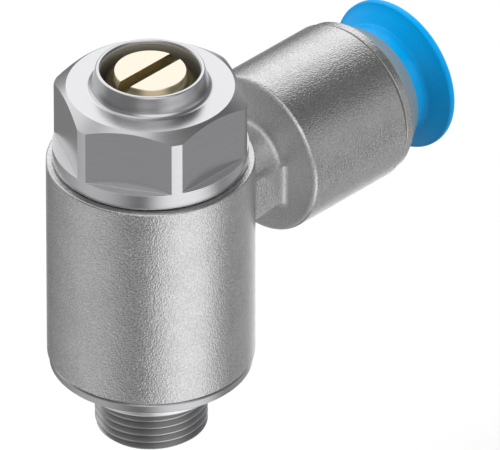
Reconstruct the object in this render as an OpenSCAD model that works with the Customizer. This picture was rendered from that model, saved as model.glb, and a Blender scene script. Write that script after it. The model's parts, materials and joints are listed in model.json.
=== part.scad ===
// One-way flow control valve: a swivel body on a hollow bolt, with a push-in tube fitting on its arm.
// Millimetres. The thread axis is Z. Z = 0 is the end of the thread's last full turn, just below the sealing ring.
// The arm points along +X.

/* [Port thread and seal] */
// Major diameter of the port thread, a parallel 1/8 inch pipe thread
thread_d = 9.728; // [9.6:0.004:9.8]
// Length of the thread from its tip to its last full turn
thread_reach = 4.2; // [4:0.1:6]
// Lead chamfer at the thread's tip
thread_chamfer = 0.35; // [0.2:0.05:0.6]
// Length of the run-out above the last full turn
thread_runout = 0.1; // [0.08:0.01:0.15]
// Depth of the undercut behind the thread, which holds the sealing ring
relief_depth = 0.4; // [0.3:0.05:0.5]
// Gap from the run-out to the sealing ring's lower face
seal_lift = 0.1; // [0.08:0.01:0.2]
// Outer diameter of the sealing ring
seal_ring_d = 12.4; // [11.6:0.1:13.4]
// Height of the sealing ring
seal_ring_h = 2.2; // [1.8:0.1:2.6]
// Step from the body's side in to the thrust flange's edge
flange_step = 0.2; // [0.1:0.05:1.2]
// Thickness of the thrust flange
flange_h = 0.8; // [0.6:0.1:1.4]

/* [Swivel body] */
// Outer diameter of the body
body_d = 17.9; // [17:0.1:19]
// Height of the body
body_h = 19.6; // [19:0.1:21]
// Chamfer on the body's lower edge
body_chamfer = 0.25; // [0.1:0.05:0.5]
// Rounding of the body's top edge
body_edge = 0.15; // [0.1:0.05:0.3]
// Diameter of the annular chamber round the bolt
chamber_d = 12.6; // [12.3:0.1:13]
// Diameter of the lower guide bore
guide_d = 11.1; // [10.9:0.1:11.5]
// Wall between the lower guide bore's end and the lower cross ports
guide_wall = 0.45; // [0.3:0.05:0.6]

/* [Arm] */
// Depth of the arm's axis below the body's top
arm_drop = 5.62; // [5.4:0.02:6]
// Diameter of the arm's barrel
barrel_d = 14.5; // [14:0.1:15.2]
// Distance from the thread axis to the barrel's closed rear face
barrel_rear = 12.7; // [12.2:0.1:13.4]
// Distance from the thread axis to the barrel's open end
barrel_end = 25.1; // [24.6:0.1:26]
// Length of the slightly turned down end of the barrel
barrel_tip = 1; // [0.6:0.1:1.6]
// Step in radius at the turned down end
barrel_step = 0.2; // [0.1:0.05:0.3]
// Rounding round the barrel's rear face
barrel_round = 0.4; // [0.2:0.05:0.5]
// Width of the neck between body and barrel
neck_w = 7.5; // [7.1:0.1:7.8]
// Depth of the neck's underside below the arm's axis
neck_drop = 3.6; // [3.2:0.1:4]
// Height of the neck's flat shoulders above the arm's axis
neck_lift = 0.55; // [0.4:0.05:0.7]
// Rounding of the neck's lower edges
neck_edge = 0.6; // [0.4:0.05:0.8]
// Concave rounding where the neck meets the barrel
neck_root = 0.5; // [0.3:0.05:0.6]
// Diameter of the round ridge over the air channel
ridge_d = 6; // [5.6:0.1:6.2]
// Diameter of the air channel from the chamber to the tube stop
channel_d = 4.2; // [3.8:0.1:4.4]

/* [Hollow bolt] */
// Width across flats of the hexagon
hex_af = 15; // [14.6:0.1:15.4]
// Diameter of the round collar under the flats
collar_d = 16.8; // [16.2:0.1:17.4]
// Height of the round collar
collar_h = 1.52; // [1.2:0.02:2]
// Height of the bolt's head from the collar's seat to its top face
head_h = 7.26; // [7:0.02:8]
// Diameter of the flat top face
top_face_d = 14.42; // [13.8:0.02:14.8]
// Angle of the chamfer over the corners
corner_angle = 34; // [28:1:38]
// Height of the rim round the regulating screw
rim_h = 1.78; // [1.4:0.02:2.2]
// Outer diameter of the rim at its top
rim_d = 9.4; // [9.3:0.05:9.8]
// Taper of the rim's outer wall, in radius
rim_taper = 0.3; // [0.1:0.05:0.5]
// Fillet at the rim's foot
rim_fillet = 0.5; // [0.3:0.05:0.8]
// Overlap of the rolled-in lip over the screw's stop collar
lip_overlap = 0.3; // [0.2:0.05:0.4]
// Diameter of the waist in the air chamber
waist_d = 8.8; // [8.4:0.1:9.2]
// Diameter of the central bore from the port
port_bore_d = 5.4; // [5:0.1:5.6]
// Depth of the lower cross ports' axes below the lip seal
low_port_drop = 2.25; // [2.1:0.05:2.4]
// Diameter of the lower cross ports
low_port_d = 2.6; // [2.2:0.1:2.8]
// Diameter of the upper cross ports, which lie at the arm's axis
high_port_d = 2.8; // [2.4:0.1:3]
// Number of cross ports in each row
port_count = 4; // [3:1:4]
// Section of the two body O-rings
body_oring = 1.5; // [1.3:0.1:1.6]

/* [Check lip seal] */
// Depth of the lip seal's top below the arm's axis
lip_seal_drop = 3.48; // [3.4:0.02:3.6]
// Height of the lip seal
lip_seal_h = 2.3; // [2:0.1:2.5]
// Height of the shoulders that hold the lip seal
shoulder_h = 0.5; // [0.4:0.05:0.6]
// Step of the shoulders from the waist, in radius
shoulder_step = 0.6; // [0.4:0.1:0.8]

/* [Regulating screw] */
// Diameter of the screw's flat top
screw_top_d = 6.12; // [5.8:0.02:6.4]
// Height of the cone under the flat top
screw_cone_h = 1.2; // [0.9:0.1:1.4]
// Diameter of the screw's neck below the cone
screw_neck_d = 7.9; // [7.6:0.1:8]
// Depth of the screw's top below the rim's edge when closed
screw_recess = 0.22; // [0.1:0.02:0.5]
// Width of the driver slot
slot_w = 1.2; // [1:0.1:1.4]
// Depth of the driver slot
slot_depth = 0.85; // [0.6:0.05:1.1]
// Diameter of the screw's thread
screw_thread_d = 7; // [6.6:0.1:7.2]
// Travel of the screw from closed to its stop
screw_travel = 3.4; // [2.6:0.1:3.5]
// Diameter of the stop collar that carries the O-ring
stop_collar_d = 9.1; // [8.9:0.05:9.2]
// Height of the stop collar
stop_collar_h = 2.5; // [2.2:0.1:2.7]
// Section of the screw's O-ring
screw_oring = 1.1; // [0.9:0.05:1.2]
// Diameter of the screw's stem above the needle
stem_d = 4.4; // [4.2:0.1:4.6]
// Diameter of the throttle bore
seat_d = 4; // [3.6:0.1:4]
// Length of the throttle bore
seat_h = 1.2; // [1:0.1:1.4]
// Diameter of the needle's blunt tip
needle_tip_d = 2; // [1.4:0.1:2.4]
// Length of the needle's taper below the throttle bore's edge
needle_h = 2; // [1.6:0.1:2.2]

/* [Push-in fitting] */
// Outer diameter of the tube that the fitting takes
tube_d = 8; // [7.8:0.05:8.1]
// Distance from the thread axis to the tube stop
tube_stop = 14.3; // [14:0.1:14.8]
// Distance from the thread axis to the seal pocket's shoulder
pocket_start = 17.2; // [16.9:0.1:17.4]
// Diameter of the seal pocket
pocket_d = 12; // [11.8:0.1:12.2]
// Length of the tube seal
tube_seal_l = 2.4; // [2.2:0.1:2.5]
// Thickness of the support ring's flange
support_t = 0.75; // [0.6:0.05:0.9]
// Depth of the support ring's cup, where the claws bend
claw_room = 1.5; // [1.4:0.05:1.6]
// Thickness of the grip ring's sheet
grip_t = 0.3; // [0.25:0.05:0.4]
// Number of claws on the grip ring
claw_count = 8; // [6:1:10]
// Width of the slot between claws
claw_gap = 0.7; // [0.5:0.1:0.9]
// Length of the sleeve's cone that shows outside the barrel
sleeve_cone = 2.1; // [1.8:0.1:2.4]
// Outer diameter of the sleeve's end
sleeve_end_d = 11.44; // [11.2:0.02:11.7]
// Outer diameter of the sleeve where it meets the barrel
sleeve_root_d = 13.5; // [13.2:0.1:13.8]
// Travel of the release ring
release_travel = 1; // [0.8:0.05:1.1]
// Diameter of the release ring's hub
hub_d = 10.4; // [10.2:0.05:10.5]
// Height of the release ring's snap bead over its hub, in radius
bead_h = 0.3; // [0.2:0.05:0.35]
// Length of the release ring's bead
bead_l = 0.9; // [0.7:0.1:1]
// Distance from the sleeve's end to the back of the release flange
flange_lift = 1.75; // [1.6:0.05:2.2]
// Height of the conical back of the release flange
flange_back = 0.85; // [0.6:0.05:1]
// Diameter of the edge round the release flange's back
release_back_d = 13.02; // [12.6:0.02:13.2]
// Outer diameter of the release flange
release_d = 13.72; // [13.4:0.02:14]
// Thickness of the release flange's rim
release_rim = 0.8; // [0.6:0.05:1]

/* [Fits] */
// Radial clearance of a running fit
run_gap = 0.05; // [0.03:0.01:0.08]
// Axial play of the body between the flange and the collar
end_play = 0.07; // [0.05:0.01:0.12]
// Clearance drawn between pieces that are pressed or snapped together
press_gap = 0.02; // [0.01:0.01:0.03]
// Clearance drawn between a rubber lip or ring and the wall that it seals on
seal_gap = 0.03; // [0.02:0.01:0.05]

/* [Hidden] */
$fn = 96;

// Heights along the thread axis
flange_r = body_d / 2 - flange_step;
seal_z = thread_runout + seal_lift;
flange_z = seal_z + seal_ring_h;
flange_top_z = flange_z + flange_h;
body_z = flange_top_z + end_play;
body_top_z = body_z + body_h;
collar_z = body_top_z + end_play;
collar_top_z = collar_z + collar_h;
head_top_z = collar_z + head_h;
rim_top_z = head_top_z + rim_h;
arm_z = body_top_z - arm_drop;
lip_top_z = arm_z - lip_seal_drop;
lip_z = lip_top_z - lip_seal_h;
low_port_z = lip_z - low_port_drop;
guide_top_z = low_port_z - low_port_d / 2 - guide_wall;

// Radii of the bolt and of the bores that it runs in
thread_r = thread_d / 2;
relief_r = thread_r - relief_depth;
land_r = thread_r + 0.05;
chamber_r = chamber_d / 2;
guide_r = guide_d / 2;
lower_journal_r = guide_r - run_gap;
upper_journal_r = chamber_r - run_gap;
waist_r = waist_d / 2;
collar_r = collar_d / 2;
shoulder_r = waist_r + shoulder_step;

// Journals and O-ring grooves of the bolt
groove_w = body_oring + 0.4;
journal_edge = 0.15;
lower_groove_z = (flange_top_z + guide_top_z) / 2;
lower_groove_r = guide_r - seal_gap - body_oring - press_gap;
channel_r = channel_d / 2;
upper_journal_z = arm_z + channel_r + 0.3;
upper_groove_z = (upper_journal_z + collar_z) / 2;
upper_groove_r = chamber_r - seal_gap - body_oring - press_gap;

// Bores inside the bolt
port_bore_r = port_bore_d / 2;
seat_r = seat_d / 2;
stem_r = stem_d / 2;
stem_bore_r = stem_r + 0.6;
seat_z = low_port_z + low_port_d / 2 + 1.1;
seat_top_z = seat_z + seat_h;
seat_cone_h = stem_bore_r - seat_r;
screw_thread_r = screw_thread_d / 2;
stop_collar_r = stop_collar_d / 2;
stop_bore_r = stop_collar_r + run_gap;
lip_r = stop_bore_r - lip_overlap;
lip_h = 0.35;
stop_z = rim_top_z - lip_h - lip_overlap;
stop_gap = 0.1;
stop_top_z = stop_z - screw_travel - stop_gap;
stop_low_z = stop_top_z - stop_collar_h;
screw_floor_z = stop_low_z - 0.3;
screw_thread_z = arm_z + high_port_d / 2 + 0.3;
screw_top_z = rim_top_z - screw_recess;
screw_groove_w = screw_oring + 0.25;
screw_groove_z = stop_low_z + stop_collar_h / 2;
screw_groove_r = stop_bore_r - seal_gap - screw_oring - press_gap;
needle_r = seat_r - run_gap;

// Distances along the arm, from the thread axis
tube_bore_r = tube_d / 2 + 0.05;
pocket_r = pocket_d / 2;
pocket_fit_r = pocket_r - press_gap;
seal_end = pocket_start + press_gap + tube_seal_l;
support_start = seal_end + press_gap;
support_end = support_start + support_t + claw_room;
grip_start = support_end + press_gap;
grip_end = grip_start + grip_t;
sleeve_start = grip_end + press_gap;
sleeve_end = barrel_end + sleeve_cone;
hub_r = hub_d / 2;
throat_r = hub_r + run_gap;
bead_r = hub_r + bead_h;
bead_bore_r = bead_r + run_gap;
bead_start = sleeve_start + release_travel + 0.1;
bead_end = bead_start + bead_l;
throat_start = bead_end + 2 * run_gap;
nose_start = grip_end - 0.4;
nose_r = hub_r - 0.3;
release_back = sleeve_end + flange_lift;
release_edge = release_back + flange_back;
release_end = release_edge + release_rim;
release_r = release_d / 2;
release_back_r = release_back_d / 2;
release_bore_r = tube_d / 2 + 0.08;
cup_r = pocket_fit_r - 0.6;
claw_tip = grip_start - claw_room + 0.25;

// Points on an arc of radius r about c, from angle a to angle b
function arc(c, r, a, b, steps = 6) =
    [for (k = [0:steps]) c + r * [cos(a + (b - a) * k / steps), sin(a + (b - a) * k / steps)]];

// A ring about Z from radius r0 to r1 and height z0 to z1, its outer edges chamfered by c
module ring(r0, r1, z0, z1, c = 0.05) {
    rotate_extrude()
        polygon([[r0, z0], [r1 - c, z0], [r1, z0 + c], [r1, z1 - c], [r1 - c, z1], [r0, z1]]);
}

// An O-ring of the given section whose outside lies at radius outer_r
module o_ring(outer_r, section, z) {
    translate([0, 0, z])
        rotate_extrude()
            translate([outer_r - section / 2, 0])
                circle(d = section, $fn = 32);
}

// Local +Z becomes +X on the arm's axis
module on_arm() {
    translate([0, 0, arm_z])
        rotate([0, 90, 0])
            children();
}

// Radial ports through the bolt's waist at height z
module cross_ports(d, z, r_start, r_end) {
    for (k = [0:port_count - 1])
        rotate([0, 0, 45 + k * 360 / port_count])
            translate([r_start, 0, z])
                rotate([0, 90, 0])
                    cylinder(d = d, h = r_end - r_start);
}

// Turned outside of the bolt, from the thread's tip to the round collar
module bolt_shank() {
    tip_z = -thread_reach;
    rotate_extrude()
        polygon([
            [0, tip_z],
            [thread_r - thread_chamfer, tip_z],
            [thread_r, tip_z + thread_chamfer],
            [thread_r, thread_runout],
            [relief_r, thread_runout],
            [relief_r, flange_z],
            [land_r, flange_z],
            [land_r, flange_top_z],
            [lower_journal_r, flange_top_z],
            [lower_journal_r, lower_groove_z - groove_w / 2],
            [lower_groove_r, lower_groove_z - groove_w / 2],
            [lower_groove_r, lower_groove_z + groove_w / 2],
            [lower_journal_r, lower_groove_z + groove_w / 2],
            [lower_journal_r, guide_top_z - journal_edge],
            [lower_journal_r - journal_edge, guide_top_z],
            [waist_r, guide_top_z],
            [waist_r, lip_z - press_gap - shoulder_h],
            [shoulder_r, lip_z - press_gap - shoulder_h],
            [shoulder_r, lip_z - press_gap],
            [waist_r, lip_z - press_gap],
            [waist_r, lip_top_z + press_gap],
            [shoulder_r, lip_top_z + press_gap],
            [shoulder_r, lip_top_z + press_gap + shoulder_h],
            [waist_r, lip_top_z + press_gap + shoulder_h],
            [waist_r, upper_journal_z],
            [upper_journal_r - journal_edge, upper_journal_z],
            [upper_journal_r, upper_journal_z + journal_edge],
            [upper_journal_r, upper_groove_z - groove_w / 2],
            [upper_groove_r, upper_groove_z - groove_w / 2],
            [upper_groove_r, upper_groove_z + groove_w / 2],
            [upper_journal_r, upper_groove_z + groove_w / 2],
            [upper_journal_r, collar_z],
            [collar_r - 0.15, collar_z],
            [collar_r, collar_z + 0.15],
            [collar_r, collar_top_z],
            [0, collar_top_z]
        ]);
}

// Hexagon whose corners are turned to the collar's diameter and chamfered to the top face
module bolt_head() {
    corner_z = head_top_z - (collar_r - top_face_d / 2) * tan(corner_angle);
    intersection() {
        translate([0, 0, collar_top_z - 0.5])
            cylinder(d = hex_af / cos(30), h = head_top_z - collar_top_z + 0.5, $fn = 6);
        rotate_extrude()
            polygon([
                [0, collar_top_z - 0.5],
                [collar_r, collar_top_z - 0.5],
                [collar_r, corner_z],
                [top_face_d / 2, head_top_z],
                [0, head_top_z]
            ]);
    }
}

// Thin rim, rolled in at its top over the screw's stop collar
module bolt_rim() {
    top_r = rim_d / 2;
    foot_r = top_r + rim_taper;
    edge = 0.14;
    rotate_extrude()
        polygon(concat(
            [[0, head_top_z - 0.5], [foot_r + rim_fillet, head_top_z - 0.5]],
            arc([foot_r + rim_fillet, head_top_z + rim_fillet], rim_fillet, 270, 180),
            arc([top_r - edge, rim_top_z - edge], edge, 0, 90, 4),
            [[0, rim_top_z]]
        ));
}

// Stepped bore: port, throttle seat, stem bore, screw thread, stop bore and rolled lip
module bolt_bore() {
    lead = port_bore_r - seat_r;
    rotate_extrude()
        polygon([
            [0, -thread_reach - 1],
            [port_bore_r, -thread_reach - 1],
            [port_bore_r, seat_z - lead],
            [seat_r, seat_z],
            [seat_r, seat_top_z],
            [stem_bore_r, seat_top_z + seat_cone_h],
            [stem_bore_r, screw_thread_z],
            [screw_thread_r + run_gap, screw_thread_z + 0.4],
            [screw_thread_r + run_gap, screw_floor_z],
            [stop_bore_r, screw_floor_z],
            [stop_bore_r, stop_z],
            [lip_r, stop_z + lip_overlap],
            [lip_r, rim_top_z - 0.1],
            [lip_r + 0.1, rim_top_z],
            [lip_r + 0.1, rim_top_z + 1],
            [0, rim_top_z + 1]
        ]);
}

module hollow_bolt() {
    color([0.62, 0.62, 0.64])
        difference() {
            union() {
                bolt_shank();
                bolt_head();
                bolt_rim();
            }
            bolt_bore();
            cross_ports(low_port_d, low_port_z, port_bore_r * 0.6, lower_journal_r + 1);
            cross_ports(high_port_d, arm_z, stem_bore_r * 0.6, upper_journal_r + 1);
        }
}

// Disc pressed on the bolt's land, which carries the body and presses on the sealing ring
module thrust_flange() {
    color([0.66, 0.66, 0.67])
        ring(land_r + press_gap, flange_r, flange_z, flange_top_z, 0.1);
}

// The bore opens downwards, so that the ring's face stays clear of the thread that it was screwed over.
module thread_seal_ring() {
    r0 = relief_r + press_gap;
    r1 = seal_ring_d / 2;
    top_z = flange_z - press_gap;
    edge = 0.25;
    mouth_r = thread_r + 0.1;
    color([0.86, 0.87, 0.88])
        rotate_extrude()
            polygon(concat(
                [[r0, seal_z + mouth_r - r0], [mouth_r, seal_z]],
                arc([r1 - edge, seal_z + edge], edge, 270, 360),
                arc([r1 - edge, top_z - edge], edge, 0, 90),
                [[r0, top_z]]
            ));
}

module lower_o_ring() {
    color([0.12, 0.12, 0.12])
        o_ring(guide_r - seal_gap, body_oring, lower_groove_z);
}

module upper_o_ring() {
    color([0.12, 0.12, 0.12])
        o_ring(chamber_r - seal_gap, body_oring, upper_groove_z);
}

// Cup seal whose lip points down: air from the arm folds it in, air from the port shuts it
module check_lip_seal() {
    inner_r = waist_r + press_gap;
    lip_out = chamber_r - seal_gap;
    leg_r = inner_r + 0.55;
    root_z = lip_z + lip_seal_h * 0.55;
    color([0.15, 0.15, 0.15])
        rotate_extrude()
            polygon([
                [inner_r, lip_z],
                [leg_r, lip_z],
                [leg_r + 0.1, root_z],
                [leg_r + 0.4, root_z],
                [lip_out - 0.45, lip_z],
                [lip_out - 0.1, lip_z],
                [lip_out, lip_z + 0.1],
                [lip_out, lip_z + 0.5],
                [leg_r + 0.65, lip_top_z],
                [inner_r, lip_top_z]
            ]);
}

// Outside of the body, turned about the thread axis
module body_outside() {
    r = body_d / 2;
    rotate_extrude()
        polygon(concat(
            [[0, body_z], [r - body_chamfer, body_z], [r, body_z + body_chamfer]],
            arc([r - body_edge, body_top_z - body_edge], body_edge, 0, 90, 4),
            [[0, body_top_z]]
        ));
}

// Neck: a low bar with rounded lower edges, and the round ridge over the air channel
module neck() {
    x0 = chamber_r + 0.8;
    x1 = barrel_rear + 0.4;
    half = neck_w / 2;
    edge_y = half - neck_edge;
    edge_z = arm_z - neck_drop + neck_edge;
    top_z = arm_z + neck_lift;
    translate([x0, 0, 0])
        rotate([90, 0, 90])
            linear_extrude(x1 - x0)
                union() {
                    polygon(concat(
                        [[half, top_z], [-half, top_z]],
                        arc([-edge_y, edge_z], neck_edge, 180, 270),
                        arc([edge_y, edge_z], neck_edge, 270, 360)
                    ));
                    translate([0, arm_z])
                        circle(d = ridge_d);
                }
}

// Half section of a concave rounding that starts at distance d from a line and ends on the barrel's rear
function root_section(d) =
    concat(
        [[d - 0.2, barrel_rear + 0.2], [d - 0.2, barrel_rear - neck_root]],
        arc([d + neck_root, barrel_rear - neck_root], neck_root, 180, 90),
        [[d + neck_root, barrel_rear + 0.2]]
    );

// Concave roundings where the ridge and the neck's sides and underside meet the barrel
module neck_roots() {
    half = neck_w / 2;
    edge_y = half - neck_edge;
    edge_z = arm_z - neck_drop + neck_edge;
    on_arm()
        rotate_extrude()
            polygon(root_section(ridge_d / 2));
    for (k = [0, 1])
        mirror([0, k, 0]) {
            translate([0, 0, edge_z])
                linear_extrude(arm_z + neck_lift - edge_z)
                    polygon([for (p = root_section(half)) [p[1], p[0]]]);
            intersection() {
                translate([0, edge_y, edge_z])
                    rotate([0, 90, 0])
                        rotate_extrude()
                            polygon(root_section(neck_edge));
                translate([barrel_rear - 1, edge_y, edge_z - 2])
                    cube([2, 2, 2]);
            }
        }
    translate([0, edge_y, 0])
        rotate([90, 0, 0])
            linear_extrude(2 * edge_y)
                polygon([for (p = root_section(neck_drop)) [p[1], arm_z - p[0]]]);
}

// Outside of the arm's barrel, with a fine groove before its turned down end
module barrel_outside() {
    r = barrel_d / 2;
    tip_r = r - barrel_step;
    groove_x = barrel_end - barrel_tip;
    on_arm()
        rotate_extrude()
            polygon(concat(
                [[0, barrel_rear]],
                arc([r - barrel_round, barrel_rear + barrel_round], barrel_round, 270, 360),
                [
                    [r, groove_x - 0.1],
                    [tip_r - 0.05, groove_x],
                    [tip_r, groove_x + 0.1],
                    [tip_r, barrel_end - 0.1],
                    [tip_r - 0.1, barrel_end],
                    [0, barrel_end]
                ]
            ));
}

// Stepped bore for the bolt: lower guide, then the annular chamber
module body_bore() {
    step = chamber_r - guide_r;
    rotate_extrude()
        polygon([
            [0, body_z - 1],
            [guide_r + 0.2, body_z - 1],
            [guide_r + 0.2, body_z],
            [guide_r, body_z + 0.2],
            [guide_r, guide_top_z],
            [chamber_r, guide_top_z + step],
            [chamber_r, body_top_z - 0.2],
            [chamber_r + 0.2, body_top_z],
            [chamber_r + 0.2, body_top_z + 1],
            [0, body_top_z + 1]
        ]);
}

// Stepped bore of the arm: air channel, tube stop, tube guide and seal pocket
module arm_bore() {
    on_arm()
        rotate_extrude()
            polygon([
                [0, chamber_r - 1],
                [channel_r, chamber_r - 1],
                [channel_r, tube_stop - 0.6],
                [channel_r + 0.6, tube_stop],
                [tube_bore_r, tube_stop],
                [tube_bore_r, pocket_start],
                [pocket_r, pocket_start],
                [pocket_r, barrel_end - 0.2],
                [pocket_r + 0.2, barrel_end],
                [pocket_r + 0.2, barrel_end + 1],
                [0, barrel_end + 1]
            ]);
}

module swivel_body() {
    color([0.6, 0.6, 0.6])
        difference() {
            union() {
                body_outside();
                neck();
                neck_roots();
                barrel_outside();
            }
            body_bore();
            arm_bore();
        }
}

module screw_o_ring() {
    color([0.12, 0.12, 0.12])
        o_ring(stop_bore_r - seal_gap, screw_oring, screw_groove_z);
}

// Turned brass screw: slotted head, neck, stop collar with its groove, thread, stem and needle
module regulating_screw() {
    neck_r = screw_neck_d / 2;
    top_r = screw_top_d / 2;
    tip_z = seat_top_z - seat_h - needle_h;
    shut_gap = 0.08;
    color([0.86, 0.77, 0.55])
        difference() {
            rotate_extrude()
                polygon([
                    [0, tip_z],
                    [needle_tip_d / 2, tip_z],
                    [needle_r, seat_top_z - 0.3],
                    [needle_r, seat_top_z + shut_gap],
                    [stem_r, seat_top_z + shut_gap + stem_r - needle_r],
                    [stem_r, screw_thread_z + 0.5],
                    [screw_thread_r, screw_thread_z + 0.5 + screw_thread_r - stem_r],
                    [screw_thread_r, stop_low_z],
                    [stop_collar_r, stop_low_z],
                    [stop_collar_r, screw_groove_z - screw_groove_w / 2],
                    [screw_groove_r, screw_groove_z - screw_groove_w / 2],
                    [screw_groove_r, screw_groove_z + screw_groove_w / 2],
                    [stop_collar_r, screw_groove_z + screw_groove_w / 2],
                    [stop_collar_r, stop_top_z],
                    [neck_r, stop_top_z],
                    [neck_r, screw_top_z - screw_cone_h],
                    [top_r, screw_top_z],
                    [0, screw_top_z]
                ]);
            translate([-neck_r - 1, -slot_w / 2, screw_top_z - slot_depth])
                cube([2 * neck_r + 2, slot_w, slot_depth + 1]);
        }
}

// Rubber ring with an inner lip that rests on the tube
module tube_seal() {
    lip_in = tube_bore_r;
    start = pocket_start + press_gap;
    color([0.13, 0.13, 0.13])
        on_arm()
            rotate_extrude()
                polygon([
                    [lip_in + 0.45, start],
                    [pocket_fit_r, start],
                    [pocket_fit_r, seal_end],
                    [lip_in + 0.3, seal_end],
                    [lip_in, seal_end - tube_seal_l * 0.35],
                    [lip_in, seal_end - tube_seal_l * 0.55],
                    [lip_in + 0.45, seal_end - tube_seal_l * 0.75]
                ]);
}

// Cup that backs the seal and leaves the claws room to bend
module seal_support_ring() {
    color([0.82, 0.82, 0.78])
        on_arm()
            rotate_extrude()
                polygon([
                    [tube_bore_r, support_start],
                    [pocket_fit_r, support_start],
                    [pocket_fit_r, support_end],
                    [cup_r, support_end],
                    [cup_r, support_start + support_t],
                    [tube_bore_r, support_start + support_t]
                ]);
}

// Spring steel ring: a flat rim, and claws that lean in and back towards the tube stop
module grip_ring() {
    bend_r = cup_r - 0.1;
    color([0.72, 0.73, 0.75])
        on_arm()
            difference() {
                rotate_extrude()
                    polygon([
                        [tube_bore_r, claw_tip],
                        [tube_bore_r + 0.3, claw_tip - 0.05],
                        [bend_r, grip_start],
                        [pocket_fit_r, grip_start],
                        [pocket_fit_r, grip_end],
                        [bend_r - 0.1, grip_end]
                    ]);
                for (k = [0:claw_count - 1])
                    rotate([0, 0, k * 360 / claw_count])
                        translate([tube_bore_r - 1, -claw_gap / 2, claw_tip - 1])
                            cube([bend_r - tube_bore_r + 0.9, claw_gap, grip_end - claw_tip + 2]);
            }
}

// Sleeve pressed in the barrel: it locks the grip ring and guides the release ring
module cartridge_sleeve() {
    root_r = sleeve_root_d / 2;
    end_r = sleeve_end_d / 2;
    neck_in = throat_start + bead_bore_r - throat_r;
    color([0.5, 0.53, 0.56])
        on_arm()
            rotate_extrude()
                polygon(concat(
                    [
                        [bead_bore_r, sleeve_start],
                        [pocket_fit_r - 0.2, sleeve_start],
                        [pocket_fit_r, sleeve_start + 0.2],
                        [pocket_fit_r, barrel_end + press_gap],
                        [root_r, barrel_end + press_gap]
                    ],
                    arc([root_r - 0.3, barrel_end + 0.3], 0.3, 0, 64, 4),
                    [
                        [end_r, sleeve_end - 0.15],
                        [end_r - 0.12, sleeve_end],
                        [throat_r + 0.1, sleeve_end],
                        [throat_r, sleeve_end - 0.1],
                        [throat_r, neck_in],
                        [bead_bore_r, throat_start]
                    ]
                ));
}

// Blue ring that is pushed in to free the tube: nose, snap bead, hub and flange
module release_ring() {
    rim_round = 0.34;
    front_round = 0.3;
    color([0.0, 0.55, 0.86])
        on_arm()
            rotate_extrude()
                polygon(concat(
                    [
                        [release_bore_r, nose_start],
                        [release_bore_r + 0.25, nose_start],
                        [nose_r, nose_start + 0.8],
                        [nose_r, bead_start - 0.3],
                        [hub_r, bead_start],
                        [bead_r, bead_start + 0.2],
                        [bead_r, bead_end - 0.1],
                        [hub_r, bead_end + 0.2],
                        [hub_r, release_back - 0.4]
                    ],
                    arc([hub_r + 0.4, release_back - 0.4], 0.4, 180, 123, 4),
                    [[release_back_r, release_edge]],
                    arc([release_r - rim_round, release_edge + rim_round * 0.9], rim_round, -40, 0, 4),
                    arc([release_r - front_round, release_end - front_round], front_round, 0, 90, 5),
                    [
                        [release_bore_r + 0.7, release_end],
                        [release_bore_r, release_end - 0.9]
                    ]
                ));
}

hollow_bolt();
thrust_flange();
thread_seal_ring();
lower_o_ring();
upper_o_ring();
check_lip_seal();
swivel_body();
screw_o_ring();
regulating_screw();
tube_seal();
seal_support_ring();
grip_ring();
cartridge_sleeve();
release_ring();
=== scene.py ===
# %% [markdown]
# # A one-way flow control valve, dressed for a product picture
# The valve is a hollow bolt with a hexagon head, a die-cast body that swivels on it, a brass screw that
# meters the air, and a push-in fitting with a blue release ring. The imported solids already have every
# real shape and size, so this script adds what a solid model leaves out: the cut thread, the finishes,
# the studio round them and the camera.

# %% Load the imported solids
import json
import math

import bpy
import numpy as np
from mathutils import Matrix, Vector


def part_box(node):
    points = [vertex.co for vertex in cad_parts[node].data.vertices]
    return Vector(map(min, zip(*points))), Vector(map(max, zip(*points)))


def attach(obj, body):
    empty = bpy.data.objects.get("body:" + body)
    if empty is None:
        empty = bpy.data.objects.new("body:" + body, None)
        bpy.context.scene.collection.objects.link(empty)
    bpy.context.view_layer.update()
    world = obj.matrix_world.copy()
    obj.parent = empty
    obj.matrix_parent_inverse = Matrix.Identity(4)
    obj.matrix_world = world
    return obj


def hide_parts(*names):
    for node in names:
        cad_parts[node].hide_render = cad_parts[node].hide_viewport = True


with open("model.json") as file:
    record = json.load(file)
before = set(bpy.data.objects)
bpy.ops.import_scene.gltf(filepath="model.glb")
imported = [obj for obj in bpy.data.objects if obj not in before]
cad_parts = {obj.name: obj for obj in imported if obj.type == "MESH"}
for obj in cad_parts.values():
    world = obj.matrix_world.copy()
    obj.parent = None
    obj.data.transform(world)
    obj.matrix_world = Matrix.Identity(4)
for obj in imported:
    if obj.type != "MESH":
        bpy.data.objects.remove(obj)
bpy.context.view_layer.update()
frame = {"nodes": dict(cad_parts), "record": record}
scene = bpy.context.scene
solids = frame["nodes"]
MM = 0.001
print("solids:", ", ".join(sorted(solids)))
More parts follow.
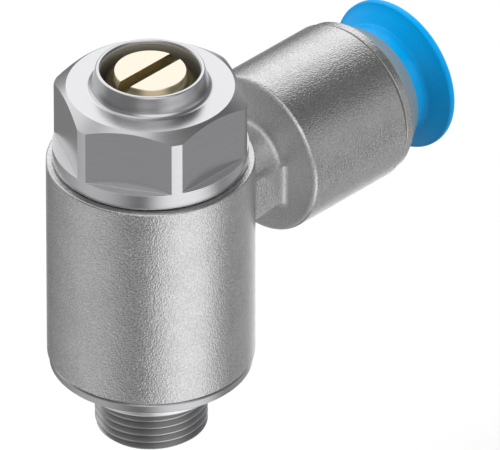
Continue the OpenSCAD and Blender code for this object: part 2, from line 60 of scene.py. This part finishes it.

# %% [markdown]
# ## Wires that do arithmetic
# A finish is a small sum: some noise, scaled, added to a base value. Written node by node such a sum is
# long and hard to read. A wire object that knows how to add and multiply lets the sums below read like
# sums, and each one still becomes ordinary Math nodes.


# %% Shader helpers
class Wire:
    """A number that runs along a socket. Arithmetic on it adds Math nodes and gives a new wire."""

    def __init__(self, graph, socket):
        self.graph = graph
        self.socket = socket

    def math(self, operation, first, second):
        return self.graph.node("ShaderNodeMath", {"operation": operation}, {0: first, 1: second})

    def __add__(self, other):
        return self.math("ADD", self, other)

    def __radd__(self, other):
        return self.math("ADD", other, self)

    def __sub__(self, other):
        return self.math("SUBTRACT", self, other)

    def __rsub__(self, other):
        return self.math("SUBTRACT", other, self)

    def __mul__(self, other):
        return self.math("MULTIPLY", self, other)

    def __rmul__(self, other):
        return self.math("MULTIPLY", other, self)

    def smooth(self, low, high):
        """0 below low, 1 above high, with a soft step between. Low may be the larger of the two."""
        settings = {"interpolation_type": "SMOOTHSTEP"}
        sockets = {"Value": self, "From Min": low, "From Max": high}
        return self.graph.node("ShaderNodeMapRange", settings, sockets)

    def between(self, start, full, fade, end):
        """A band: it rises from 0 at start to 1 at full, and falls from 1 at fade to 0 at end."""
        return self.smooth(start, full) * self.smooth(end, fade)


class Graph:
    """A node tree that is written as expressions."""

    def __init__(self, tree):
        self.tree = tree
        tree.nodes.clear()

    def node(self, kind, settings=None, sockets=None, out=0):
        """Adds one node: its settings first, then the values or wires of its sockets."""
        made = self.tree.nodes.new(kind)
        for name, value in (settings or {}).items():
            setattr(made, name, value)
        for name, value in (sockets or {}).items():
            if isinstance(value, Wire):
                self.tree.links.new(value.socket, made.inputs[name])
            else:
                made.inputs[name].default_value = value
        return Wire(self, made.outputs[out]) if made.outputs else None

    def place(self):
        """The place on the piece in the piece's own coordinates, so a pattern moves with it."""
        return self.node("ShaderNodeTexCoord", out=3)

    def coordinate(self, axis):
        """One coordinate of the place: 0, 1 or 2 for X, Y or Z."""
        return self.node("ShaderNodeSeparateXYZ", sockets={"Vector": self.place()}, out=axis)

    def blend(self, mask, low, high):
        """A colour that goes from low to high as the mask goes from 0 to 1. Each may be a wire."""
        low, high = (end if isinstance(end, Wire) else (*end, 1) for end in (low, high))
        sockets = {"Factor": mask, 6: low, 7: high}
        return self.node("ShaderNodeMix", {"data_type": "RGBA"}, sockets, out=2)


def grey(value):
    """A neutral colour."""
    return (value, value, value)


print("helpers:", ", ".join(kind.__name__ for kind in (Wire, Graph)))

# %% [markdown]
# ## The thread
# The real thread is cut: a pointed tool runs along the bolt while it turns, and leaves a groove that
# winds down the shank. The solid has a plain cylinder at the crests. The groove could be painted on as
# a bump, but then the tip would show no groove in profile, so it is cut here as well: a small V profile
# is carried along a helix to make a cutter, and a Boolean takes it out of a copy of the bolt.

# %% Groove cutter
THREAD_R = 4.864 * MM
THREAD_PITCH = 0.72 * MM
CREST_FLAT = 0.11 * MM
ROOT_FLAT = 0.05 * MM
HALF_ANGLE = math.radians(27.5)
THREAD_TOP = 0.3 * MM
TURN_STEPS = 96
CUT_PAST_CREST = 0.03 * MM


def mesh_object(name, points, faces):
    """Makes an object at the origin from an array of points and a list of faces."""
    mesh = bpy.data.meshes.new(name)
    mesh.from_pydata(points.tolist(), [], faces)
    mesh.update()
    made = bpy.data.objects.new(name, mesh)
    scene.collection.objects.link(made)
    return made


def carry(name, profile, turns, pitch, z_top):
    """Carries a closed profile along a helix: a point (r, dz) of the profile goes, at angle a, to
    (r cos a, r sin a, z_top + dz + pitch * a / full turn), with a running down from 0. Flat caps
    close both ends. The angle runs down while the helix sinks, which makes a right-hand thread."""
    steps = int(turns * TURN_STEPS)
    angle = -np.linspace(0, 2 * math.pi * turns, steps + 1)[:, None]
    radius, rise = profile[:, 0][None, :], profile[:, 1][None, :]
    height = z_top + rise + pitch * angle / (2 * math.pi)
    around = np.stack([radius * np.cos(angle), radius * np.sin(angle), height], -1)
    count = len(profile)
    ring = np.arange(steps)[:, None] * count
    side = np.arange(count)[None, :]
    after = (side + 1) % count
    quads = np.stack([ring + side, ring + after, ring + count + after, ring + count + side], -1)
    caps = [list(range(count))[::-1], list(range(steps * count, (steps + 1) * count))]
    return mesh_object(name, around.reshape(-1, 3), quads.reshape(-1, 4).tolist() + caps)


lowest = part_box("hollow_bolt")[0][2]
groove_depth = (THREAD_PITCH - CREST_FLAT - ROOT_FLAT) / 2 / math.tan(HALF_ANGLE)
root_r = THREAD_R - groove_depth
outer_r = THREAD_R + CUT_PAST_CREST
outer_half = ROOT_FLAT / 2 + (outer_r - root_r) * math.tan(HALF_ANGLE)
groove = np.array([
    [root_r, -ROOT_FLAT / 2],
    [outer_r, -outer_half],
    [outer_r, outer_half],
    [root_r, ROOT_FLAT / 2],
])
turns = (THREAD_TOP - lowest) / THREAD_PITCH + 1
cutter = carry("thread_cutter", groove, turns, THREAD_PITCH, THREAD_TOP)
print(f"groove {groove_depth / MM:.3f} mm deep, {turns:.1f} turns")

# %% [markdown]
# ## Smooth copies
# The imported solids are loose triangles, and a Boolean wants a closed skin, so the cut is made in a copy
# whose doubled points are merged. The copy then stands for the solid.
#
# The other pieces with small roundings get such a copy too, because their roundings are made of a few
# flat bands. Edges stay sharp only where two faces meet at more than 24 degrees, and the shading of
# each point leans towards its largest face, so roundings look round and flats stay flat. The directions
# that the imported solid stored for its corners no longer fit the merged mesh, so they are dropped first.

# %% Smooth copies
MERGE = 0.0002 * MM
SHARP = math.radians(24)
LEAN_WEIGHT = 60
SKINNED = {
    "hollow_bolt": "bolt",
    "thread_seal_ring": "bolt",
    "swivel_body": "swivel_arm",
    "cartridge_sleeve": "swivel_arm",
    "release_ring": "release_ring",
    "regulating_screw": "regulating_screw",
}


def apply_modifiers(made):
    """Turns an object's modifiers into its mesh."""
    bpy.context.view_layer.update()
    view = bpy.context.evaluated_depsgraph_get()
    done = bpy.data.meshes.new_from_object(made.evaluated_get(view))
    made.modifiers.clear()
    made.data = done


def skin(node, body, tool=None):
    """A copy of a solid with its doubled points merged, a tool's shape taken out and even shading."""
    made = bpy.data.objects.new(node + "_skin", solids[node].data.copy())
    scene.collection.objects.link(made)
    made.modifiers.new("weld", "WELD").merge_threshold = MERGE
    if tool:
        cut = made.modifiers.new("cut", "BOOLEAN")
        cut.operation, cut.solver, cut.object = "DIFFERENCE", "EXACT", tool
    apply_modifiers(made)
    made.data.attributes.remove(made.data.attributes["custom_normal"])
    made.data.shade_smooth()
    made.data.set_sharp_from_angle(angle=SHARP)
    lean = made.modifiers.new("lean", "WEIGHTED_NORMAL")
    lean.mode, lean.weight, lean.keep_sharp = "FACE_AREA", LEAN_WEIGHT, True
    apply_modifiers(made)
    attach(made, body)
    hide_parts(node)
    return made


skins = {}
for node, body in SKINNED.items():
    skins[node] = skin(node, body, cutter if node == "hollow_bolt" else None)
bpy.data.objects.remove(cutter)
print("faces:", {node: len(made.data.polygons) for node, made in skins.items()})

# %% [markdown]
# ## Cast metal
# The swivel body is a zinc die casting with a matt nickel coat. Its skin is finely grained, like sand
# paper of a fine grade, and the grain is what tells the eye that this piece is cast while the bolt is
# turned. Two noises make it: one at the grain's own size, and a coarser one that makes the grain a
# little uneven. Both shift the colour, and the fine one also moves the Bump height and the roughness.
#
# Bands along X pick out three places. The neck, as far as the barrel's rear face, is painted a little
# lighter than the rest, which is painted light. The barrel's rear face is duller. The groove near the
# barrel's tip is so shallow that a line of painted shade, duller and with some relief, helps it.

# %% Cast metal
GRAIN = 0.14 * MM
GRAIN_DEPTH = 0.042 * MM
PATCH = 2.5 * MM
NECK_X = (9.0 * MM, 9.4 * MM, 12.78 * MM, 12.85 * MM)
REAR_X = (11.8 * MM, 12.1 * MM, 12.78 * MM, 12.85 * MM)
TIP_GROOVE_X = (23.92 * MM, 24.08 * MM, 24.24 * MM, 24.4 * MM)
TIP_GROOVE_RELIEF = 1.2


def material(name):
    """A new material and its empty tree."""
    made = bpy.data.materials.new(name)
    made.use_nodes = True
    return made, Graph(made.node_tree)


def principled(graph, sockets):
    """Ends a tree with a Principled shader that has these values and wires."""
    shader = graph.node("ShaderNodeBsdfPrincipled", sockets=sockets)
    graph.node("ShaderNodeOutputMaterial", sockets={"Surface": shader})


def noise(graph, size, detail=2.0):
    """Noise whose blobs are about this wide in metres, from 0 to 1, fixed to the piece."""
    sockets = {"Vector": graph.place(), "Scale": 1 / size, "Detail": detail}
    return graph.node("ShaderNodeTexNoise", sockets=sockets)


def bump(graph, height, depth):
    """A normal that follows a height map whose full swing is this deep in metres."""
    return graph.node("ShaderNodeBump", sockets={"Height": height, "Distance": depth})


def cast_metal():
    """Grained grey metal; along X, painted light on the neck, a dull rear face, painted shade in the
    groove.
    """
    made, graph = material("cast_metal")
    grain = noise(graph, GRAIN, 1.0)
    shade = (0.25 * noise(graph, PATCH) + 0.75 * grain).smooth(0.25, 0.75)
    along = graph.coordinate(0)
    neck, rear, tip = (along.between(*span) for span in (NECK_X, REAR_X, TIP_GROOVE_X))
    coat = graph.blend(shade, grey(0.48), grey(0.66))
    # painted light: a lighter copy of the coat for the neck band, which reaches the barrel's rear face
    painted_light_coat = graph.blend(shade, grey(0.56), grey(0.78))
    principled(graph, {
        # painted shade: the tip's groove is painted dark grey
        "Base Color": graph.blend(tip, graph.blend(neck, coat, painted_light_coat), grey(0.22)),
        "Metallic": 1.0,
        "Roughness": 0.2 + 0.08 * grain + 0.25 * rear + 0.3 * tip,
        "Normal": bump(graph, grain - TIP_GROOVE_RELIEF * tip, GRAIN_DEPTH),
    })
    return made


casting = cast_metal()
print("cast metal:", len(casting.node_tree.nodes), "nodes, grain", GRAIN / MM, "mm")

# %% [markdown]
# ## Turned metal
# The bolt, the flange and the sealing ring are turned on a lathe: a tool leaves very fine rings round
# the axis. Noise that changes quickly along the axis and slowly round it gives such rings. Scaling the
# coordinates before the noise does it, so one function serves every turned piece.
#
# The bolt is one piece with several skins, and masks on height and radius tell them apart. The bore is
# drilled, so it is rougher. Its colour is a painted reflection of the brass screw below, warm and dark,
# with painted light that brightens it towards the rim. The cut thread is painted darker, as painted
# shade.
# The collar's top ledge and its chamfered lower edge are left duller, so they don't mirror the dark side
# of the flats above them and of the body below them, and are painted lighter instead, as painted light.
#
# The brass screw's end face is painted light, and its sides and its slot are painted in shade.

# %% Turned metal
MARK_WIDTH = 0.12 * MM
MARK_DEPTH = 0.001 * MM
MARK_SQUEEZE = 0.02
BORE_R = 4.64 * MM
RIM_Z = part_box("hollow_bolt")[1][2]
FACE_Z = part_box("regulating_screw")[1][2]
BORE_Z = FACE_Z - 6 * MM
BORE_SPAN = (BORE_Z, BORE_Z + 0.1 * MM, RIM_Z - 0.2 * MM, RIM_Z - 0.12 * MM)
LEDGE_Z = 24.46 * MM
LEDGE_SPAN = (LEDGE_Z - 0.05 * MM, LEDGE_Z - 0.02 * MM, LEDGE_Z + 0.02 * MM, LEDGE_Z + 0.05 * MM)
COLLAR_EDGE_SPAN = (22.91 * MM, 22.94 * MM, 23.09 * MM, 23.12 * MM)


def turning_marks(graph, axis=2):
    """Fine rings round an axis: noise of the place with the two other coordinates squeezed."""
    squeeze = [MARK_SQUEEZE] * 3
    squeeze[axis] = 1
    sockets = {"Vector": graph.place(), "Scale": Vector(squeeze)}
    placed = graph.node("ShaderNodeMapping", sockets=sockets)
    sockets = {"Vector": placed, "Scale": 1 / MARK_WIDTH, "Detail": 3.0}
    return graph.node("ShaderNodeTexNoise", sockets=sockets)


def turned(graph, marks, colour, roughness):
    """Ends a turned metal's tree: the marks are in its roughness and stand out as a faint relief."""
    principled(graph, {
        "Base Color": colour,
        "Metallic": 1.0,
        "Roughness": roughness + 0.05 * marks,
        "Normal": bump(graph, marks, MARK_DEPTH),
    })


def turned_metal(name, dark, bright, roughness, axis=2):
    """A plain turned piece whose colour goes from dark to bright with the marks."""
    made, graph = material(name)
    marks = turning_marks(graph, axis)
    turned(graph, marks, graph.blend(marks, dark, bright), roughness)
    return made


def bolt_metal():
    """The bolt: turned outside, a drilled bore in painted reflection and painted light, a cut thread in
    painted shade, and a dull ledge and lower edge in painted light.
    """
    made, graph = material("turned_bolt")
    marks = turning_marks(graph)
    sockets = {0: graph.place(), 1: (1, 1, 0)}
    flat = graph.node("ShaderNodeVectorMath", {"operation": "MULTIPLY"}, sockets)
    radius = graph.node("ShaderNodeVectorMath", {"operation": "LENGTH"}, {0: flat}, out="Value")
    height = graph.coordinate(2)
    bore = radius.smooth(BORE_R + 0.02 * MM, BORE_R - 0.02 * MM) * height.between(*BORE_SPAN)
    cut = height.smooth(THREAD_TOP, THREAD_TOP - 0.1 * MM)
    ledge = height.between(*LEDGE_SPAN)
    edge = height.between(*COLLAR_EDGE_SPAN)
    painted_light_near_rim = height.smooth(RIM_Z - 1.5 * MM, RIM_Z - 0.3 * MM)
    outside = graph.blend(marks, (0.55, 0.55, 0.565), (0.61, 0.61, 0.625))
    # painted shade: the cut thread is painted darker
    outside = graph.blend(cut, outside, grey(0.45))
    # painted reflection of the brass screw in the bore, with painted light towards the rim
    wall = graph.blend(painted_light_near_rim, (0.56, 0.54, 0.47), (0.94, 0.93, 0.91))
    # painted light: the ledge and the collar's lower edge are painted lighter than the turned metal
    colour = graph.blend(ledge + edge, graph.blend(bore, outside, wall), (0.8, 0.8, 0.81))
    turned(graph, marks, colour, 0.21 + 0.45 * bore + 0.12 * cut + 0.25 * ledge + 0.4 * edge)
    return made


def turned_brass():
    """Brass whose end face is painted light, while its slot and its sides are painted in shade."""
    made, graph = material("turned_brass")
    marks = turning_marks(graph)
    # painted light on the end face and painted shade on the sides and in the slot: one brass in two tones
    painted_light_end = graph.coordinate(2).smooth(FACE_Z - 0.12 * MM, FACE_Z - 0.02 * MM)
    side = graph.blend(marks, (0.40, 0.34, 0.21), (0.46, 0.40, 0.26))
    turned(graph, marks, graph.blend(painted_light_end, side, (0.78, 0.67, 0.56)), 0.24)
    return made


bolt_finish = bolt_metal()
screw_finish = turned_brass()
print("bolt:", len(bolt_finish.node_tree.nodes), "nodes, brass:", len(screw_finish.node_tree.nodes))

# %% [markdown]
# ## Plastic and rubber
# The release ring is blue plastic with a low sheen, the sleeve behind it a smooth grey one, and the
# seals are black rubber. Moulded plastic is never quite even: a broad, faint noise shifts its colour,
# and a finer one breaks up the gloss.

# %% Plastic and rubber
BLOTCH = 4.5 * MM
FINE = 0.25 * MM
FINE_DEPTH = 0.002 * MM


def moulded(name, dark, bright, roughness, gloss=0.5):
    """A moulded piece whose colour goes from dark to bright in broad blotches."""
    made, graph = material(name)
    fine = noise(graph, FINE)
    principled(graph, {
        "Base Color": graph.blend(noise(graph, BLOTCH), dark, bright),
        "Roughness": roughness + 0.06 * fine,
        "Specular IOR Level": gloss,
        "Normal": bump(graph, fine, FINE_DEPTH),
    })
    return made


release_finish = moulded("release_blue", (0.0, 0.21, 0.48), (0.0, 0.235, 0.53), 0.25, gloss=0.12)
print("release ring:", len(release_finish.node_tree.nodes), "nodes, blotches", BLOTCH / MM, "mm")

# %% [markdown]
# ## Which piece has which finish
# The record names a material slot for each solid. The same names are used here, so the finishes can be
# found from the record, and a piece that stands for a solid takes its slot's finish.

# %% Finishes
finishes = {
    "cast_body": casting,
    "bolt_metal": bolt_finish,
    "flange_metal": turned_metal("turned_flange", (0.46, 0.46, 0.47), (0.52, 0.52, 0.53), 0.24),
    "seal_ring_metal": turned_metal("bright_ring", (0.70, 0.71, 0.72), (0.76, 0.77, 0.78), 0.3),
    "screw_brass": screw_finish,
    "claw_steel": turned_metal("spring_steel", (0.62, 0.63, 0.65), (0.70, 0.71, 0.73), 0.2, axis=0),
    "nitrile": moulded("black_rubber", grey(0.012), grey(0.02), 0.45),
    "support_plastic": moulded("natural_acetal", (0.62, 0.62, 0.58), (0.68, 0.68, 0.64), 0.35),
    "sleeve_grey": moulded("sleeve_grey", (0.11, 0.14, 0.15), (0.13, 0.16, 0.17), 0.3),
    "release_blue": release_finish,
}
slot_of = {part["node"]: part["material_slot"] for part in frame["record"]["subparts"]}
for node, solid in solids.items():
    piece = skins.get(node, solid)
    piece.data.materials.clear()
    piece.data.materials.append(finishes[slot_of[node]])
print("finished", len(solids), "pieces")

# %% [markdown]
# ## The studio
# Metal shows its surroundings, so the surroundings make the picture. Seen from 34 degrees above, every
# upright wall of the valve mirrors what lies 34 degrees below the horizon, and every flat top mirrors
# what lies 34 degrees above it on the far side. Panels of soft light are placed at those heights, and
# others where the neck, the rim and the hexagon's cone look. They are drawn in the world's shader as
# round spots on the sky, because a spot there needs no distance and throws no shadow edge. Each spot is
# the dot product of the ray's direction with the spot's own direction, passed through a soft step. One
# spot takes light away, as a photographer's dark card does.
#
# The camera sees plain white behind the valve. Gloss sees the grey room with its panels and not that
# white, because the metal in the picture shows such a room.

# %% World
SKY_GREY = 0.26
GROUND_GREY = 0.2
HORIZON = (-0.25, 0.05)
PANELS = [
    # name, azimuth, elevation, half width, soft half width, strength
    ("behind, high", 38, 32, 7, 35, 1.2),
    ("left front, low", -95, -37, 5, 42, 1.15),
    ("left, low", 155, -52, 8, 44, 0.58),
    ("right, low", -6, -45, 8, 42, 0.3),
    ("right front, level", -55, 3, 6, 32, 0.3),
    ("behind, low", 36, -36, 6, 24, 0.8),
    ("left behind, level", 99, -5, 10, 39, 0.46),
    ("camera side, high", -122, 36, 12, 42, 1.0),
    ("overhead", 152, 74, 6, 26, 0.85),
    ("camera side, level", -146, 10, 6, 26, 0.3),
    ("left behind, high", 92, 38, 8, 34, 0.9),
    ("dark card, above right", -27, 47, 10, 35, -0.08),
]


def direction(azimuth, elevation):
    """Unit vector for an azimuth from +X towards +Y and an elevation above the horizon, in degrees."""
    a, e = math.radians(azimuth), math.radians(elevation)
    return Vector((math.cos(a) * math.cos(e), math.sin(a) * math.cos(e), math.sin(e)))


world = bpy.data.worlds.new("studio")
scene.world = world
world.use_nodes = True
sky = Graph(world.node_tree)
ray = sky.node("ShaderNodeTexCoord")
height = sky.node("ShaderNodeSeparateXYZ", sockets={"Vector": ray}, out=2)
light = GROUND_GREY + (SKY_GREY - GROUND_GREY) * height.smooth(*HORIZON)
for name, azimuth, elevation, width, soft, strength in PANELS:
    sockets = {0: ray, 1: direction(azimuth, elevation)}
    aim = sky.node("ShaderNodeVectorMath", {"operation": "DOT_PRODUCT"}, sockets, out="Value")
    rim, core = math.cos(math.radians(soft)), math.cos(math.radians(width))
    light = light + strength * aim.smooth(rim, core)
camera_ray = sky.node("ShaderNodeLightPath")
studio = sky.node("ShaderNodeBackground", sockets={"Color": (1, 1, 1, 1), "Strength": light})
white = sky.node("ShaderNodeBackground", sockets={"Color": (1, 1, 1, 1), "Strength": 1.0})
seen = sky.node("ShaderNodeMixShader", sockets={"Fac": camera_ray, 1: studio, 2: white})
sky.node("ShaderNodeOutputWorld", sockets={"Surface": seen})
print("panels:", "; ".join(panel[0] for panel in PANELS))

# %% [markdown]
# ## Lamps for the plastics
# Blue plastic has little gloss and shows the light that falls on it, so it wants more light than the
# metal wants to mirror. Large square lamps give that light. They are hidden from gloss, so the metal
# still shows the panels alone, and they are so large that their shadows have no edge. A square lamp
# straight ahead of a surface lights it by its power over pi squared times its distance squared, which
# gives the power for the level that is wanted.

# %% Lamps
LAMPS = [
    # name, azimuth, elevation, side in m, distance in m, level on a surface that faces it
    ("left behind, high", 120, 50, 0.7, 1.0, 1.35),
    ("right behind", -40, 26, 0.5, 1.0, 1.2),
]

for name, azimuth, elevation, side, distance, lamp_level in LAMPS:
    lamp = bpy.data.objects.new(name, bpy.data.lights.new(name, "AREA"))
    scene.collection.objects.link(lamp)
    lamp.data.size = side
    lamp.data.energy = lamp_level * math.pi ** 2 * distance ** 2
    towards = direction(azimuth, elevation)
    turn = towards.to_track_quat("Z", "Y").to_matrix().to_4x4()
    lamp.matrix_world = Matrix.Translation(towards * distance) @ turn
    lamp.visible_glossy = False
    lamp.visible_camera = False
print(len(LAMPS), "lamps")

# %% [markdown]
# ## The floor
# The valve is screwed into a machine, so it stands on nothing. A pale floor lies a little below it. It
# is just light enough to look white, and it keeps a faint, soft shadow that falls to the right of the
# valve. Gloss looks past the floor to the panels, and from below the floor is clear, so that the thread
# and the flange can be looked at.

# %% Floor
FLOOR_DROP = 16 * MM
FLOOR_HALF = 1.2
FLOOR_GREY = 0.39
FLOOR_GLOW = 0.22
floor_z = lowest - FLOOR_DROP
corners = np.array([[-1, -1, 0], [1, -1, 0], [1, 1, 0], [-1, 1, 0]]) * FLOOR_HALF
floor = mesh_object("floor", corners + [0, 0, floor_z], [[0, 1, 2, 3]])
floor.visible_glossy = False
paint, floor_graph = material("pale_floor")
pale = floor_graph.node("ShaderNodeBsdfPrincipled", sockets={
    "Base Color": (*grey(FLOOR_GREY), 1),
    "Roughness": 1.0,
    "Emission Color": FLOOR_GLOW * floor_graph.node("ShaderNodeLightPath"),
    "Emission Strength": 1.0,
})
clear = floor_graph.node("ShaderNodeBsdfTransparent")
from_below = floor_graph.node("ShaderNodeNewGeometry", out="Backfacing")
surface = floor_graph.node("ShaderNodeMixShader", sockets={"Fac": from_below, 1: pale, 2: clear})
floor_graph.node("ShaderNodeOutputMaterial", sockets={"Surface": surface})
floor.data.materials.append(paint)
print(f"floor at {floor_z / MM:.1f} mm")

# %% [markdown]
# ## The camera
# The picture was taken with a very long lens, which keeps upright lines parallel. A fit of the
# hexagon's corners and of the round outlines gave the camera's turn, its height angle, its distance and
# the lens. The fit works from the flange's lower edge, so the camera is built in that frame and lifted
# by the flange's height.

# %% Camera
PICTURE_W = 500
TURN = 0.8007
TILT = 0.5872
FOCAL_PX = 20488.8
SIDE_SHIFT = -8.4806 * MM
UP_SHIFT = -11.2799 * MM
DISTANCE = 1758.3 * MM
SENSOR = 36
NEAREST, FARTHEST = 0.1, 10
UPRIGHT = Vector((0, 0, 1))

right = Vector((math.cos(TURN), -math.sin(TURN), 0))
level = Vector((math.sin(TURN), math.cos(TURN), 0))
ahead = math.cos(TILT) * level - math.sin(TILT) * UPRIGHT
up = math.sin(TILT) * level + math.cos(TILT) * UPRIGHT
flange_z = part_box("thrust_flange")[0][2]
eye = flange_z * UPRIGHT - (SIDE_SHIFT * right + UP_SHIFT * up + DISTANCE * ahead)
camera = bpy.data.objects.new("camera", bpy.data.cameras.new("camera"))
scene.collection.objects.link(camera)
camera.data.sensor_width = SENSOR
camera.data.lens = FOCAL_PX / PICTURE_W * SENSOR
camera.data.clip_start, camera.data.clip_end = NEAREST, FARTHEST
camera.matrix_world = Matrix.Translation(eye) @ Matrix((right, up, -ahead)).transposed().to_4x4()
scene.camera = camera
print(f"lens {camera.data.lens:.0f} mm, eye {DISTANCE:.2f} m away")

# %% [markdown]
# ## Close
# Standard view transform shows colours as they are written.

# %% Finish
scene.view_settings.view_transform = "Standard"
